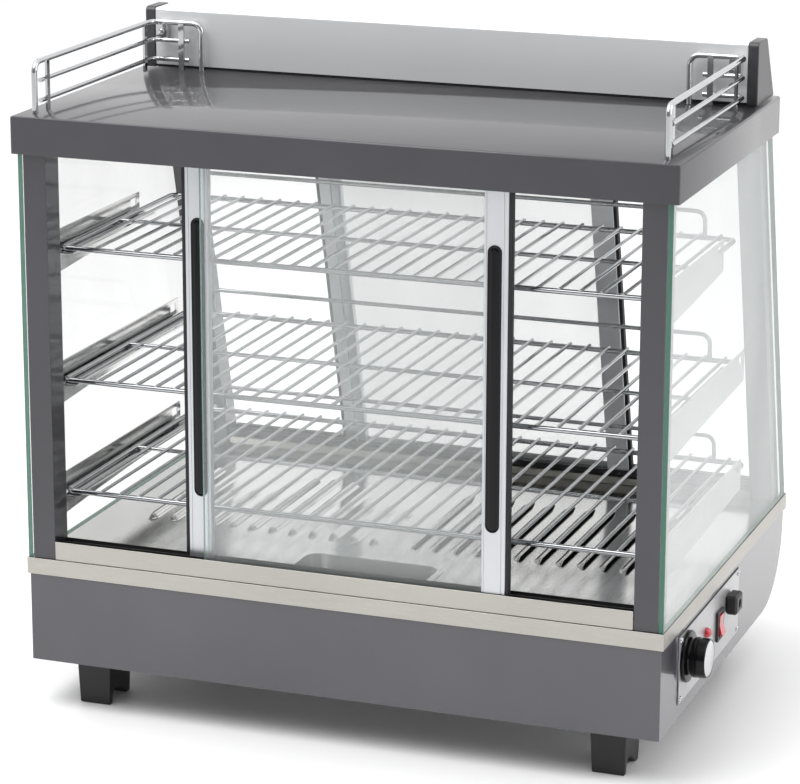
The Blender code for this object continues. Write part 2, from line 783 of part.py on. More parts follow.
def make_rail(side):
    """A welded wire guard: a hoop that turns the corner, two lower wires and three flat uprights."""
    foot = TRAY_TOP + GAP
    hoop_corners = [(-RAIL_X, RAIL_NEAR, foot), (-RAIL_X, RAIL_NEAR, RAIL_TOP), (-RAIL_X, RAIL_FAR, RAIL_TOP)]
    hoop_corners += [(-RAIL_RETURN, RAIL_FAR, RAIL_TOP), (-RAIL_RETURN, RAIL_FAR, foot)]
    hoop = tube(bent(hoop_corners, 0.010, 4), RAIL_WIRE, 2)
    wires = [
        tube(rail_route(z, RAIL_NEAR + 0.012, RAIL_RETURN + 0.014), RAIL_THIN, 1)
        for z in (RAIL_MIDDLE, RAIL_LOW)
    ]
    strip_x = -RAIL_X + 0.0012
    strip_z = (foot, RAIL_TOP - 0.0004)
    strip_x = (strip_x, strip_x + 0.0024)
    near_strip = box(strip_x, (RAIL_NEAR + 0.021, RAIL_NEAR + 0.027), strip_z)
    corner_strip = box(strip_x, (RAIL_FAR - 0.027, RAIL_FAR - 0.021), strip_z)
    strip_y = RAIL_FAR - 0.0012
    far_strip = box((-0.2895, -0.2835), (strip_y - 0.0024, strip_y), strip_z)
    tab_z = (RAIL_MIDDLE - 0.002, RAIL_TOP + 0.001)
    tab = box((-0.3165, -0.3045), (RAIL_FAR + 0.0010, HEADER_NEAR - GAP), tab_z)
    rail = plus(hoop, group(wires), near_strip, corner_strip, far_strip, tab)
    add(f"{side}_guard_rail", rail if side == "left" else mirrored(rail), "chrome")


# Controls and heating


def round_hole(y, z, radius, x):
    """A cutter along x, from x[0] to x[1]."""
    return turned_on_side([(0, x[1]), (radius, x[1]), (radius, x[0]), (0, x[0])], y, z, 24)


def turned_on_side(profile, y, z, steps):
    return turned(profile, steps, Matrix.Translation((0, y, z)) @ IN_X)


def block_at(y, z, half_y, half_z, x):
    """A block centred on (y, z), from x[0] to x[1]."""
    return box(x, (y - half_y, y + half_y), (z - half_z, z + half_z))


def make_controls():
    through = (PANEL_BACK - OVER, PANEL_FACE + OVER)
    plate = box((PANEL_BACK, PANEL_FACE), (PANEL_NEAR, PANEL_FAR), (PANEL_LOW, PANEL_HIGH))
    switch_hole = block_at(SWITCH_Y, SWITCH_Z, 0.0095, 0.0135, through)
    plate = minus(
        plate,
        round_hole(KNOB_Y, KNOB_Z, 0.0050, through),
        round_hole(LAMP_Y, LAMP_Z, 0.0045, through),
        round_hole(GLAND_Y, GLAND_Z, 0.0070, through),
        switch_hole,
    )
    add("control_plate", plate, "grey_paint")

    face = PANEL_FACE + GAP
    knob_profile = [(0, KNOB_END), (0.0170, KNOB_END), (0.0178, KNOB_END - 0.001), (0.0185, KNOB_END - 0.004)]
    knob_profile += [(0.0200, face + 0.0070), (0.0245, face + 0.0060)]
    knob_profile += [(KNOB_SKIRT, face + 0.0040), (KNOB_SKIRT, face)]
    knob_profile += [(SHAFT, face), (SHAFT, PANEL_BACK - 0.014), (0, PANEL_BACK - 0.014)]
    knob = turned_on_side(knob_profile, KNOB_Y, KNOB_Z, 32)
    pointer = box(
        (face + 0.004, KNOB_END - 0.0012),
        (KNOB_Y - 0.0016, KNOB_Y + 0.0016),
        (KNOB_Z + 0.0100, KNOB_Z + 0.0212),
    )
    add("thermostat_knob", plus(knob, pointer), "black_plastic", (0, KNOB_Y, KNOB_Z))

    body = block_at(KNOB_Y, KNOB_Z, 0.0175, 0.0175, (PANEL_BACK - 0.0353, PANEL_BACK - GAP))
    body = minus(body, round_hole(KNOB_Y, KNOB_Z, 0.0036, (PANEL_BACK - 0.016, PANEL_BACK + OVER)))
    add("thermostat_body", body, "bakelite")

    lens = [(0, face + 0.0055), (0.0030, face + 0.0048), (0.0048, face + 0.0025), (0.0055, face)]
    lens += [(0.0041, face), (0.0041, PANEL_BACK - 0.018), (0, PANEL_BACK - 0.018)]
    add("pilot_lamp", turned_on_side(lens, LAMP_Y, LAMP_Z, 20), "red_plastic")

    bezel = plus(
        block_at(SWITCH_Y, SWITCH_Z, 0.0115, 0.0155, (face, face + 0.0025)),
        block_at(SWITCH_Y, SWITCH_Z, 0.0090, 0.0130, (0.3150, face + 0.0010)),
    )
    well = block_at(SWITCH_Y, SWITCH_Z, 0.0076, 0.0120, (0.3230, face + OVER))
    add("switch_bezel", minus(bezel, well), "black_plastic")
    make_rocker(face + 0.0005)

    gland = plus(
        rounded_edges(block_at(GLAND_Y, GLAND_Z, 0.0120, 0.0100, (face, face + 0.0120)), 0.002, 1),
        turned_on_side(
            [(0, face + 0.002), (0.0065, face + 0.002), (0.0065, 0.3200), (0, 0.3200)], GLAND_Y, GLAND_Z, 20
        ),
    )
    socket = round_hole(GLAND_Y, GLAND_Z, 0.0045, (face + 0.0090, face + 0.02))
    add("cable_gland", minus(gland, socket), "black_plastic")


def make_rocker(pivot_x):
    """A see-saw switch button with a shallow V face, stored with its upper half pressed in."""
    half, back, tip, waist, tilt = 0.0105, -0.0025, 0.0042, 0.0026, 7
    outline = [(back, -half), (tip, -half), (waist, 0.0), (tip, half), (back, half)]
    rocker = flat([outline], (-0.0070, 0.0070), IN_XZ)
    turn = Matrix.Rotation(math.radians(-tilt), 4, "Y")
    moved(rocker, Matrix.Translation((pivot_x, SWITCH_Y, SWITCH_Z)) @ turn)
    add("switch_rocker", rocker, "red_plastic", (pivot_x, SWITCH_Y, SWITCH_Z))


def make_heating():
    top = DECK_TOP - DECK_PLATE - GAP
    outer = box((-SHIELD_HALF, SHIELD_HALF), (SHIELD_NEAR, SHIELD_FAR), (SHIELD_LOW, top))
    inside = box(
        (-SHIELD_HALF + SHEET, SHIELD_HALF - SHEET),
        (SHIELD_NEAR + SHEET, SHIELD_FAR - SHEET),
        (SHIELD_LOW + SHEET, top + OVER),
    )
    shield = minus(outer, inside)
    rest = ELEMENT_Z - ELEMENT_RADIUS - GAP
    saddles = [
        box((x, x + 0.0015), (SHIELD_NEAR + 0.0005, SHIELD_FAR - 0.0005), (SHIELD_LOW + 0.0005, rest))
        for x in (-0.220, -0.080, 0.080, 0.220)
    ]
    add("heat_shield", plus(shield, group(saddles)), "plain_steel")
    near, far = SHIELD_NEAR + 0.050, SHIELD_FAR - 0.050
    centre = (0.190, (near + far) / 2)
    radius = (far - near) / 2
    bend = [(x, y, ELEMENT_Z) for x, y in arc(centre, radius, -90, 90, 12)]
    for side, sign in (("right", 1), ("left", -1)):
        route = [(0.025, near, ELEMENT_Z), *bend, (0.025, far, ELEMENT_Z)]
        element = tube([(sign * x, y, z) for x, y, z in route], ELEMENT_RADIUS, 2)
        add(f"{side}_heating_element", element, "element_steel")


make_base()
for foot_end in ("near", "far"):
    for foot_side in ("left", "right"):
        make_foot(f"{foot_end}_{foot_side}_foot", foot_side, foot_end)
make_trims()
make_deck()
make_pan()
make_posts()
make_side_glass()
make_tracks()
make_doors()
make_shelves()
make_tray()
make_header()
make_rail("left")
make_rail("right")
make_controls()
make_heating()
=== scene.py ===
"""Looks of the hot food display case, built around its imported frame.

Places come from the frame's own boxes. Lengths are metres, +Z up. The near side faces -Y and is upright,
the far side leans. Pieces for the far side are drawn as near-side ones and laid over with TO_FAR.
"""

import json
import math

import bmesh
import bpy
from mathutils import Matrix, Vector


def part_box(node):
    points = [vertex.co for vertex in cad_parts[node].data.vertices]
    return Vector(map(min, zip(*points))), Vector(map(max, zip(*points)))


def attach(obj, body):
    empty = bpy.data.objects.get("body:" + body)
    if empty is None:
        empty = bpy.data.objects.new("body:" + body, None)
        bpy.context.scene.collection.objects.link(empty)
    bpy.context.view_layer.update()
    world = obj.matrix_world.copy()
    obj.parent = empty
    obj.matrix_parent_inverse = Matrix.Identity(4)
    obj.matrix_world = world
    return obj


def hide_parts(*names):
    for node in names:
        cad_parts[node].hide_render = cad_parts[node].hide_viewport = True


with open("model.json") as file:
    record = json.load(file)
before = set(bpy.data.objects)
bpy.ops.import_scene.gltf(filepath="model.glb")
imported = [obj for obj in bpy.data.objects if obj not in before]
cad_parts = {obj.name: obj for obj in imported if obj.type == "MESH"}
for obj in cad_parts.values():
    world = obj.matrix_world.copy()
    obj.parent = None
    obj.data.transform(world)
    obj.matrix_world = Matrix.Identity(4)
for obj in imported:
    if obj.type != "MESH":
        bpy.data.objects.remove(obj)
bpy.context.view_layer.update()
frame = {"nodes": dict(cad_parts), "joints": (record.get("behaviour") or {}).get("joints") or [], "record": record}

BODY_OF = {
    node: body for body, nodes in frame["record"]["behaviour"]["bodies"].items() for node in nodes
}
SLOT_OF = {part["node"]: part["material_slot"] for part in frame["record"]["subparts"]}
JOINT = {joint["name"]: joint for joint in frame["joints"]}

BASE_LOW, BASE_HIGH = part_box("base_shell")
MIDDLE_X = (BASE_LOW.x + BASE_HIGH.x) / 2

NEAR_POST_LOW, NEAR_POST_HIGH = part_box("near_left_post")
FAR_POST_LOW, FAR_POST_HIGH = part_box("far_left_post")
POST_DEPTH = NEAR_POST_HIGH.y - NEAR_POST_LOW.y
LEAN = (FAR_POST_HIGH.y - FAR_POST_LOW.y - POST_DEPTH) / (FAR_POST_HIGH.z - FAR_POST_LOW.z)
FAR_PLANE = FAR_POST_HIGH.y + NEAR_POST_LOW.y + LEAN * FAR_POST_LOW.z

TO_NEAR = Matrix.Identity(4)
TO_FAR = Matrix(((-1, 0, 0, 2 * MIDDLE_X), (0, -1, -LEAN, FAR_PLANE), (0, 0, 1, 0), (0, 0, 0, 1)))

# Maps from a flat outline's own plane, its thickness along the third axis
IN_XY = Matrix.Identity(4)
IN_YZ = Matrix(((0, 0, 1, 0), (1, 0, 0, 0), (0, 1, 0, 0), (0, 0, 0, 1)))
# Sends a turned shape's height along +X
ALONG_X = Matrix(((0, 0, 1, 0), (0, 1, 0, 0), (-1, 0, 0, 0), (0, 0, 0, 1)))

MM = 0.001


# Materials


def new_material(name, colour, roughness, metallic):
    material = bpy.data.materials.new(name)
    material.use_nodes = True
    tree = material.node_tree
    shader = tree.nodes["Principled BSDF"]
    shader.inputs["Base Color"].default_value = (*colour, 1.0)
    shader.inputs["Roughness"].default_value = roughness
    shader.inputs["Metallic"].default_value = metallic
    return material, tree, shader


def noise(tree, scale, stretch=(1, 1, 1), detail=3.0):
    """A noise field fixed to the object, with scale in cells per metre."""
    place = tree.nodes.new("ShaderNodeTexCoord")
    mapping = tree.nodes.new("ShaderNodeMapping")
    mapping.inputs["Scale"].default_value = [scale * share for share in stretch]
    field = tree.nodes.new("ShaderNodeTexNoise")
    field.inputs["Scale"].default_value = 1.0
    field.inputs["Detail"].default_value = detail
    tree.links.new(place.outputs["Object"], mapping.inputs["Vector"])
    tree.links.new(mapping.outputs["Vector"], field.inputs["Vector"])
    return field.outputs["Fac"]


def between(tree, value, low, high, start=0.3, end=0.7):
    """The value's stretch from start to end, sent to low to high."""
    node = tree.nodes.new("ShaderNodeMapRange")
    node.inputs["From Min"].default_value = start
    node.inputs["From Max"].default_value = end
    node.inputs["To Min"].default_value = low
    node.inputs["To Max"].default_value = high
    tree.links.new(value, node.inputs["Value"])
    return node.outputs["Result"]


def mixed(tree, share, first, second):
    """A colour between two; inputs 0, 6, 7 and output 2 are the node's share and colour sockets."""
    node = tree.nodes.new("ShaderNodeMix")
    node.data_type = "RGBA"
    tree.links.new(share, node.inputs[0])
    node.inputs[6].default_value = (*first, 1.0)
    node.inputs[7].default_value = (*second, 1.0)
    return node.outputs[2]


def bumped(tree, shader, height, depth):
    node = tree.nodes.new("ShaderNodeBump")
    node.inputs["Distance"].default_value = depth
    node.inputs["Strength"].default_value = 1.0
    tree.links.new(height, node.inputs["Height"])
    tree.links.new(node.outputs["Normal"], shader.inputs["Normal"])


def surface(name, colour, roughness, metallic, tone=0.06, cloud=9.0, grain=900.0,
            stretch=(1, 1, 1), spread=0.04, depth=0.00002, coat=0.0, coat_roughness=0.1, specular=0.5):
    """A finish whose tone drifts slowly, and whose roughness and relief follow a fine grain."""
    material, tree, shader = new_material(name, colour, roughness, metallic)
    darker = [channel * (1 - tone) for channel in colour]
    lighter = [min(1.0, channel * (1 + tone)) for channel in colour]
    drift = noise(tree, cloud, detail=4.0)
    fine = noise(tree, grain, stretch)
    tree.links.new(mixed(tree, between(tree, drift, 0, 1), darker, lighter), shader.inputs["Base Color"])
    tree.links.new(between(tree, fine, roughness - spread, roughness + spread), shader.inputs["Roughness"])
    bumped(tree, shader, fine, depth)
    shader.inputs["Specular IOR Level"].default_value = specular
    shader.inputs["Coat Weight"].default_value = coat
    shader.inputs["Coat Roughness"].default_value = coat_roughness
    return material


PANE_ROUGHNESS = 0.02
EDGE_VEIL = 0.94


def glass(name, main_axis, face_colour, face_alpha, edge_colour):
    """Clear pane whose pale colour, shown more at a glancing view, paints the reflection of the bright room, with
    a deep colour where its cut edges show.
    """
    material, tree, shader = new_material(name, face_colour, PANE_ROUGHNESS, 0.0)
    normal = tree.nodes.new("ShaderNodeNewGeometry")
    parts = tree.nodes.new("ShaderNodeSeparateXYZ")
    tree.links.new(normal.outputs["Normal"], parts.inputs["Vector"])
    size = tree.nodes.new("ShaderNodeMath")
    size.operation = "ABSOLUTE"
    tree.links.new(parts.outputs[main_axis], size.inputs[0])
    on_edge = between(tree, size.outputs[0], 1, 0, 0.45, 0.55)
    tree.links.new(mixed(tree, on_edge, face_colour, edge_colour), shader.inputs["Base Color"])
    # Alpha rising towards a glancing view shows the pale face colour: painted reflection.
    view = tree.nodes.new("ShaderNodeLayerWeight")
    view.inputs["Blend"].default_value = 0.5
    painted_reflection = between(tree, view.outputs["Facing"], *face_alpha, 0, 1)
    streak = noise(tree, 14.0, (1, 1, 0.3), 2.0)
    uneven = tree.nodes.new("ShaderNodeMath")
    uneven.operation = "MULTIPLY"
    tree.links.new(painted_reflection, uneven.inputs[0])
    tree.links.new(between(tree, streak, 0.9, 1.1), uneven.inputs[1])
    alpha = tree.nodes.new("ShaderNodeMath")
    alpha.operation = "MAXIMUM"
    tree.links.new(uneven.outputs[0], alpha.inputs[0])
    tree.links.new(between(tree, on_edge, 0, EDGE_VEIL, 0, 1), alpha.inputs[1])
    tree.links.new(alpha.outputs[0], shader.inputs["Alpha"])
    return material


# Grain drawn out along X, and upright
ALONG = (0.02, 1, 1)
UPRIGHT = (1, 1, 0.012)
FINISH = {
    "grey_paint": surface("grey_paint", (0.068, 0.066, 0.078), 0.36, 0.30, 0.10, 8, 1500,
                          spread=0.05, depth=0.000012, coat=1.0, coat_roughness=0.09),
    # A darker copy of grey_paint for the tray and the posts: its darker colour is painted shade, for the light
    # they get less of than the base front.
    "dark_paint": surface("dark_paint", (0.045, 0.044, 0.053), 0.36, 0.30, 0.14, 8, 1500,
                          spread=0.05, depth=0.000012, coat=0.65, coat_roughness=0.07),
    "brushed_steel": surface("brushed_steel", (0.435, 0.42, 0.39), 0.34, 1.0, 0.05, 5, 2600, ALONG,
                             spread=0.08, depth=0.000010),
    "polished_steel": surface("polished_steel", (0.68, 0.68, 0.67), 0.15, 1.0, 0.05, 12, 700, (1, 0.05, 1),
                              spread=0.05, depth=0.000008),
    "chrome": surface("chrome", (0.62, 0.63, 0.64), 0.09, 1.0, 0.03, 40, 500, spread=0.03, depth=0.000004),
    "shelf_chrome": surface("shelf_chrome", (0.40, 0.41, 0.42), 0.12, 1.0, 0.04, 40, 500,
                            spread=0.04, depth=0.000004),
    "aluminium": surface("aluminium", (0.60, 0.61, 0.635), 0.34, 0.80, 0.04, 6, 2200, UPRIGHT,
                         spread=0.06, depth=0.000008),
    "header_aluminium": surface("header_aluminium", (0.78, 0.79, 0.80), 0.40, 0.45, 0.03, 4, 2200, ALONG,
                                spread=0.06, depth=0.000008),
    "black_plastic": surface("black_plastic", (0.014, 0.014, 0.015), 0.44, 0.0, 0.25, 30, 3200,
                             spread=0.08, depth=0.00003),
    "cap_plastic": surface("cap_plastic", (0.035, 0.035, 0.038), 0.36, 0.0, 0.20, 30, 2600,
                           spread=0.06, depth=0.00002, coat=0.2, coat_roughness=0.12),
    "foot_plastic": surface("foot_plastic", (0.005, 0.005, 0.006), 0.48, 0.0, 0.25, 30, 3200,
                            spread=0.08, depth=0.00003),
    "gloss_black": surface("gloss_black", (0.004, 0.004, 0.005), 0.17, 0.0, 0.20, 30, 900,
                           spread=0.04, depth=0.000006, specular=0.22),
    "rubber": surface("rubber", (0.010, 0.010, 0.011), 0.62, 0.0, 0.20, 40, 2600,
                      spread=0.08, depth=0.00003),
    "red_plastic": surface("red_plastic", (0.50, 0.015, 0.035), 0.20, 0.0, 0.15, 60, 900,
                           spread=0.04, depth=0.000006, coat=0.6, coat_roughness=0.06),
    "plain_steel": surface("plain_steel", (0.42, 0.42, 0.41), 0.45, 1.0, 0.08, 12, 900, spread=0.08),
    "element_steel": surface("element_steel", (0.16, 0.15, 0.14), 0.52, 0.8, 0.15, 20, 900, spread=0.08),
    "bakelite": surface("bakelite", (0.05, 0.04, 0.035), 0.5, 0.0, 0.20, 30, 1200, spread=0.08),
    "plate_paint": surface("plate_paint", (0.46, 0.46, 0.47), 0.34, 0.55, 0.05, 20, 1800,
                           spread=0.05, depth=0.00001, coat=0.3, coat_roughness=0.12),
    "knob_cap": surface("knob_cap", (0.66, 0.66, 0.67), 0.26, 0.9, 0.06, 60, 2600, spread=0.07),
    # Both side panes are one glass: the left pane's paler colour and thinner veil paint the brighter reflection it
    # shows, against the right pane's greyer one.
    "side_glass": glass("side_glass", 0, (0.64, 0.67, 0.665), (0.0, 0.54), (0.035, 0.14, 0.095)),
    "left_side_glass": glass("left_side_glass", 0, (0.94, 0.96, 0.96), (0.0, 0.30), (0.035, 0.14, 0.095)),
    # The door panes' pale face colour is painted reflection too.
    "door_glass": glass("door_glass", 1, (0.92, 0.96, 0.95), (0.035, 0.60), (0.20, 0.42, 0.36)),
}


# Shape helpers

WELD = 0.000005
CAD_WELD = 0.00001
FLAT_WITHIN = 0.4
BEVEL_ABOVE = 30


def finished(name, mesh, finish, body, replaced, sharp=35):
    """Puts a finished mesh in the scene as a visible piece."""
    piece = bpy.data.objects.new(name, mesh)
    bpy.context.scene.collection.objects.link(piece)
    mesh.materials.clear()
    mesh.materials.append(FINISH[finish])
    mesh.shade_smooth()
    mesh.set_sharp_from_angle(angle=math.radians(sharp))
    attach(piece, body)
    if replaced:
        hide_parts(*replaced)
    return piece


def from_shape(name, shape, finish, body, replaced=(), sharp=35):
    bmesh.ops.recalc_face_normals(shape, faces=shape.faces)
    mesh = bpy.data.meshes.new(name)
    shape.to_mesh(mesh)
    shape.free()
    return finished(name, mesh, finish, body, replaced, sharp)


def softened(piece, width, segments=2):
    """Rounds a piece's sharp edges."""
    bevel = piece.modifiers.new("Bevel", "BEVEL")
    bevel.width = width
    bevel.segments = segments
    bevel.limit_method = "ANGLE"
    bevel.angle_limit = math.radians(BEVEL_ABOVE)
    bevel.harden_normals = True
    return piece


def taken(source):
    """The object's evaluated mesh as a bmesh in world space; the object itself is removed."""
    bpy.context.view_layer.update()
    evaluated = source.evaluated_get(bpy.context.evaluated_depsgraph_get())
    mesh = bpy.data.meshes.new_from_object(evaluated)
    mesh.transform(source.matrix_world)
    bpy.data.objects.remove(source, do_unlink=True)
    shape = bmesh.new()
    shape.from_mesh(mesh)
    bpy.data.meshes.remove(mesh)
    bmesh.ops.remove_doubles(shape, verts=shape.verts, dist=WELD)
    return shape


def prism(loops, span, plane):
    """An outline with any inner loops as holes, extruded over span of its third axis."""
    curve = bpy.data.curves.new("outline", "CURVE")
    curve.dimensions = "2D"
    curve.fill_mode = "BOTH"
    curve.extrude = abs(span[1] - span[0]) / 2
    for loop in loops:
        spline = curve.splines.new("POLY")
        spline.points.add(len(loop) - 1)
        for point, (a, b) in zip(spline.points, loop):
            point.co = (a, b, 0.0, 1.0)
        spline.use_cyclic_u = True
    source = bpy.data.objects.new("outline", curve)
    bpy.context.scene.collection.objects.link(source)
    source.matrix_world = plane @ Matrix.Translation((0, 0, (span[0] + span[1]) / 2))
    return taken(source)


def wires(runs):
    """Round wires as one shape, from (points, radius, closed) runs."""
    curve = bpy.data.curves.new("wires", "CURVE")
    curve.dimensions = "3D"
    curve.bevel_depth = MM
    curve.bevel_resolution = 3
    curve.use_fill_caps = True
    for points, radius, closed in runs:
        spline = curve.splines.new("POLY")
        spline.points.add(len(points) - 1)
        for point, place in zip(spline.points, points):
            point.co = (*place, 1.0)
            point.radius = radius / MM
        spline.use_cyclic_u = closed
    source = bpy.data.objects.new("wires", curve)
    bpy.context.scene.collection.objects.link(source)
    return taken(source)


def lathe(profile, steps, place):
    """A solid of revolution from (radius, height) points, its axis sent by place."""
    shape = bmesh.new()
    points = [shape.verts.new((radius, 0.0, height)) for radius, height in profile]
    edges = [shape.edges.new(pair) for pair in zip(points, points[1:])]
    bmesh.ops.spin(
        shape,
        geom=points + edges,
        cent=(0, 0, 0),
        axis=(0, 0, 1),
        angle=math.tau,
        steps=steps,
        use_merge=True,
    )
    bmesh.ops.remove_doubles(shape, verts=shape.verts, dist=WELD)
    bmesh.ops.transform(shape, matrix=place, verts=shape.verts)
    return shape


def block(x, y, z):
    shape = bmesh.new()
    bmesh.ops.create_cube(shape, size=1.0)
    size = Matrix.Diagonal((x[1] - x[0], y[1] - y[0], z[1] - z[0], 1.0))
    middle = Matrix.Translation(((x[0] + x[1]) / 2, (y[0] + y[1]) / 2, (z[0] + z[1]) / 2))
    bmesh.ops.transform(shape, matrix=middle @ size, verts=shape.verts)
    return shape


def joined(shapes):
    """Several shapes as one."""
    whole = bmesh.new()
    for shape in shapes:
        mesh = bpy.data.meshes.new("part")
        shape.to_mesh(mesh)
        shape.free()
        whole.from_mesh(mesh)
        bpy.data.meshes.remove(mesh)
    return whole


def sent(shape, matrix):
    bmesh.ops.transform(shape, matrix=matrix, verts=shape.verts)
    return shape


def arc(centre, radius, start, end, steps):
    """Points on a circular arc, angles in degrees."""
    angles = [math.radians(start + (end - start) * i / steps) for i in range(steps + 1)]
    return [(centre[0] + radius * math.cos(a), centre[1] + radius * math.sin(a)) for a in angles]


def rectangle(low, high):
    return [(low[0], low[1]), (high[0], low[1]), (high[0], high[1]), (low[0], high[1])]


def rounded_rectangle(low, high, radius, steps):
    (x0, y0), (x1, y1) = low, high
    corners = [(x1 - radius, y0 + radius, -90), (x1 - radius, y1 - radius, 0)]
    corners += [(x0 + radius, y1 - radius, 90), (x0 + radius, y0 + radius, 180)]
    return [p for x, y, a in corners for p in arc((x, y), radius, a, a + 90, steps)]


def bent(points, radius, steps=8):
    """A route through corner points, each corner turned at the radius; all turns are square."""
    route = [Vector(points[0])]
    for before, corner, after in zip(points, points[1:], points[2:]):
        corner = Vector(corner)
        into = (corner - Vector(before)).normalized()
        out = (Vector(after) - corner).normalized()
        for i in range(steps + 1):
            turn = math.radians(90 * i / steps)
            route.append(corner - radius * (1 - math.sin(turn)) * into + radius * (1 - math.cos(turn)) * out)
    route.append(Vector(points[-1]))
    return route


def cad_shape(node):
    """The CAD node's shape, welded, with its flat faces whole again."""
    shape = bmesh.new()
    shape.from_mesh(frame["nodes"][node].data)
    bmesh.ops.remove_doubles(shape, verts=shape.verts, dist=CAD_WELD)
    bmesh.ops.dissolve_limit(
        shape, angle_limit=math.radians(FLAT_WITHIN), verts=shape.verts, edges=shape.edges
    )
    return shape


def refined(node, width, segments=2, finish=None):
    """The CAD node's own shape with rounded edges, in place of the plain one."""
    slot = SLOT_OF[node]
    piece = from_shape(f"{node}_skin", cad_shape(node), finish or slot, BODY_OF[node], [node])
    return softened(piece, width, segments)


# Cabinet

HEADER_TAPER = 0.031
HEADER_NEAR_ROUND = 0.003
HEADER_FAR_ROUND = 0.006
SHADOW_STRIP_INSET = 0.001
SHADOW_STRIP_GAP = 0.0001
PLAIN_NODES = (
    "base_cover",
    "ceiling_panel",
    "heat_shield",
    "thermostat_body",
    "left_heating_element",
    "right_heating_element",
)


def make_sheet_metal():
    """Base, tray, belts, sills, tracks, posts, feet and brackets, in their CAD shapes with softer edges."""
    refined("base_shell", 0.0010, 3)
    # The tray and the posts take the darker copy of the grey paint, which is painted shade.
    refined("top_tray", 0.0006, 3, "dark_paint")
    refined("control_plate", 0.0004, 3, "plate_paint")
    for side in ("near", "far"):
        refined(f"{side}_trim", 0.0004)
        refined(f"{side}_sill", 0.0005)
        for level in ("lower", "upper"):
            refined(f"{side}_{level}_track", 0.0002, 1)
        for end in ("left", "right"):
            # The posts' darker paint is painted shade.
            refined(f"{side}_{end}_post", 0.0012, 3, "dark_paint")
            refined(f"{side}_{end}_foot", 0.0012, 3, "foot_plastic")
    for level in ("top", "middle", "bottom"):
        for end in ("left", "right"):
            refined(f"{level}_{end}_bracket", 0.0002, 1)


def make_header():
    """The light profile on the tray, a dark strip filling the gap under it as painted shadow, and its end caps."""
    low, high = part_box("header_profile")
    far_top = high.y - HEADER_TAPER
    outline = [(low.y, low.z), (high.y, low.z)]
    far_round, near_round = HEADER_FAR_ROUND, HEADER_NEAR_ROUND
    outline += arc((far_top - far_round, high.z - far_round), far_round, 15, 90, 6)
    outline += arc((low.y + near_round, high.z - near_round), near_round, 90, 180, 6)
    header = prism([outline], (low.x, high.x), IN_YZ)
    from_shape("header_skin", header, "header_aluminium", "case", ["header_profile"])
    tray_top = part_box("left_header_cap")[0].z
    # The dark strip in the gap between the tray and the profile is painted shadow.
    strip = block(
        (low.x + SHADOW_STRIP_INSET, high.x - SHADOW_STRIP_INSET),
        (low.y + SHADOW_STRIP_INSET, high.y - SHADOW_STRIP_INSET),
        (tray_top, low.z - SHADOW_STRIP_GAP),
    )
    softened(from_shape("header_foot_strip", strip, "rubber", "case"), 0.0006)
    refined("left_header_cap", 0.0012, 3, "cap_plastic")
    refined("right_header_cap", 0.0012, 3, "cap_plastic")


def make_plain_parts():
    """The pan with softer edges, and the pieces out of sight, which only take a finish."""
    refined("water_pan", 0.0003, 2)
    for node in PLAIN_NODES:
        frame["nodes"][node].data.materials.clear()
        frame["nodes"][node].data.materials.append(FINISH[SLOT_OF[node]])


LOUVRE_COUNT = 12
LOUVRE_FIRST = 0.0143
LOUVRE_PITCH = 0.0225
LOUVRE_WIDTH = 0.011
LOUVRE_HEIGHT = 0.0049
LOUVRE_TAPER = 0.012
LOUVRE_NEAR = 0.1571
LOUVRE_FAR = 0.3541
HOOD_WALL = 0.0006
HOOD_SUNK = 0.0002
# A hood across its width and then along one tip: shares of the width, height and taper
HOOD_SECTION = (
    (0.0, 0.0), (0.18, 0.10), (0.42, 0.52), (0.62, 0.86), (0.76, 0.98), (0.86, 1.0), (0.90, 0.90)
)
HOOD_LIP = 0.9
HOOD_TIP = (0.0, 0.2, 0.45, 0.75, 1.0)
SLOT_WIDTH = 0.0070
SLOT_EDGE_GAP = 0.0002
SLOT_END_GAP = 0.001
SLOT_POINT = 0.008
DECK_Z = NEAR_POST_LOW.z - 0.0003
DECK_PLATE = 0.0015
DECK_WALL = 0.0012
DECK_EDGE = 0.0015
PAN_RIM = 0.0052
PAN_CORNER = 0.0148
TRIM_WRAP_NEAR = 0.0114
TRIM_WRAP_FAR = 0.0288


def louvre_hood(start, side, near, far):
    """A pressed hood: it rises to a lip on its open side, and tapers at both tips."""
    run = [(near + LOUVRE_TAPER * t, math.sin(t * math.pi / 2)) for t in HOOD_TIP]
    run += [(far - LOUVRE_TAPER * t, math.sin(t * math.pi / 2)) for t in reversed(HOOD_TIP)]
    shape = bmesh.new()
    skins = []
    for drop in (0.0, HOOD_WALL):
        rows = []
        for y, rise in run:
            row = []
            for share, height in HOOD_SECTION:
                across = LOUVRE_WIDTH * (HOOD_LIP - (HOOD_LIP - share) * (0.25 + 0.75 * rise))
                x = start + across if side > 0 else start + LOUVRE_WIDTH - across
                z = DECK_Z - HOOD_SUNK + LOUVRE_HEIGHT * height * rise - drop
                row.append(shape.verts.new((x, y, z)))
            rows.append(row)
        skins.append(rows)
        for row, following in zip(rows, rows[1:]):
            for i in range(len(row) - 1):
                shape.faces.new((row[i], row[i + 1], following[i + 1], following[i]))
    upper, lower = skins
    for i in range(len(run) - 1):
        for j in (0, -1):
            shape.faces.new((upper[i][j], upper[i + 1][j], lower[i + 1][j], lower[i][j]))
    for i in (0, -1):
        for j in range(len(HOOD_SECTION) - 1):
            shape.faces.new((upper[i][j], upper[i][j + 1], lower[i][j + 1], lower[i][j]))
    return shape


